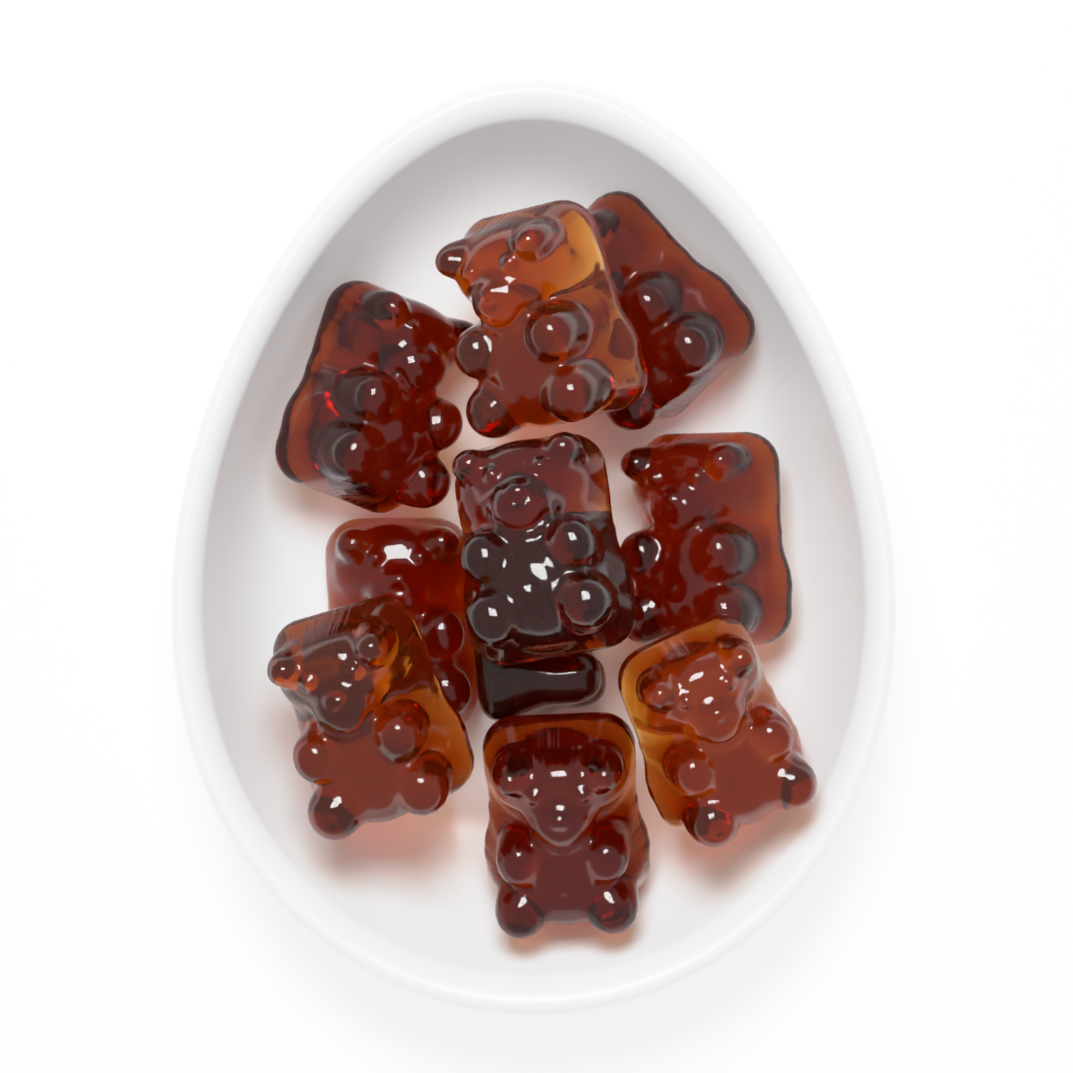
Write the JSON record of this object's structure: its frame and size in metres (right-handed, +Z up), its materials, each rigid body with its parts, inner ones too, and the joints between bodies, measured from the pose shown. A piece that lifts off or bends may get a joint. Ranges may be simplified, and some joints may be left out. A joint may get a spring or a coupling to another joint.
{
  "type": "dish of gummy bears",
  "caption": "Translucent red-brown gummy bears heaped in a small egg-shaped white glazed dish, some upright and some leaning on each other.",
  "frame": {"origin": "under the middle of the dish, on the surface it stands on", "axes": "+Z up, +Y toward the dish's narrow end, +X across the dish to the right when seen from above with the narrow end away"},
  "size_m": [0.0644, 0.0832, 0.0309],
  "materials": {
    "glazed_dish": "glossy white glaze",
    "gummy_top": "smooth translucent cola-coloured gelatine gummy, oiled shine",
    "gummy_upper_right": "smooth translucent cola-coloured gelatine gummy, oiled shine",
    "gummy_upper_left": "smooth translucent cola-coloured gelatine gummy, oiled shine",
    "gummy_centre": "smooth translucent cola-coloured gelatine gummy, oiled shine",
    "gummy_right": "smooth translucent cola-coloured gelatine gummy, oiled shine",
    "gummy_mid_left": "smooth translucent cola-coloured gelatine gummy, oiled shine",
    "gummy_lower_left": "smooth translucent cola-coloured gelatine gummy, oiled shine",
    "gummy_bottom": "smooth translucent cola-coloured gelatine gummy, oiled shine",
    "gummy_lower_right": "smooth translucent cola-coloured gelatine gummy, oiled shine",
    "gummy_under": "smooth translucent cola-coloured gelatine gummy, oiled shine"
  },
  "bodies": {
    "root": {"dish": "glazed_dish", "bear_top": "gummy_top", "bear_upper_right": "gummy_upper_right", "bear_upper_left": "gummy_upper_left", "bear_centre": "gummy_centre", "bear_right": "gummy_right", "bear_mid_left": "gummy_mid_left", "bear_lower_left": "gummy_lower_left", "bear_bottom": "gummy_bottom", "bear_lower_right": "gummy_lower_right", "bear_under": "gummy_under"}
  },
  "joints": []
}
